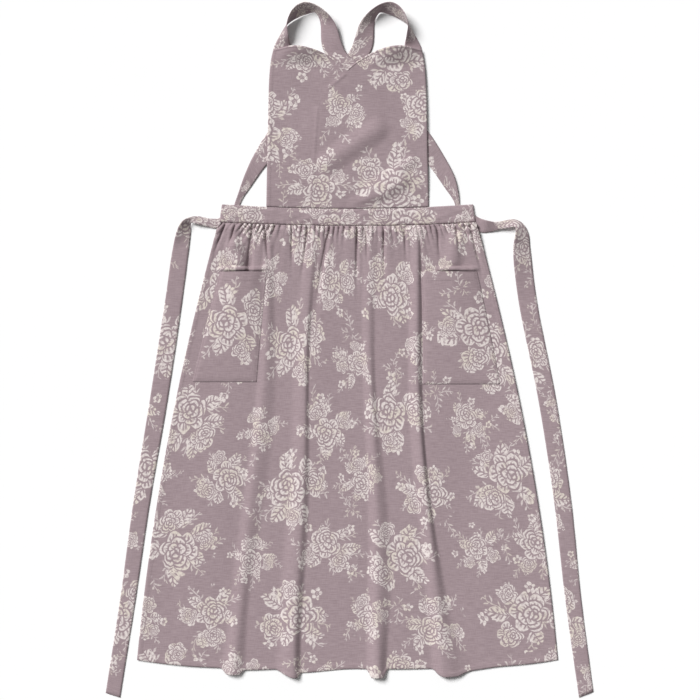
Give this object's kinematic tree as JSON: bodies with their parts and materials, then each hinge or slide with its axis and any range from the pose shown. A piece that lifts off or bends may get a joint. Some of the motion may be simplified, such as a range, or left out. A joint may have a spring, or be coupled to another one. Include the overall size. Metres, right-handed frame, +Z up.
{
  "type": "cross-back apron",
  "caption": "Printed cotton bib apron with sweetheart neckline, crossing shoulder straps, gathered skirt, patch pockets and waist ties, lying front side up.",
  "frame": {"origin": "on the surface it lies on, under the middle of its bounding box", "axes": "+X to the right of the apron seen from above, +Y from the hem towards the shoulder straps, +Z up through the front face"},
  "size_m": [0.853, 1.2178, 0.0272],
  "materials": {
    "printed_cotton": "matte woven cotton, dusty mauve with a cream floral line print"
  },
  "bodies": {
    "root": {"bib": "printed_cotton", "waistband": "printed_cotton", "skirt": "printed_cotton", "pocket_left": "printed_cotton", "pocket_right": "printed_cotton", "strap_left": "printed_cotton", "strap_right": "printed_cotton", "tie_left": "printed_cotton", "tie_right": "printed_cotton"}
  },
  "joints": []
}
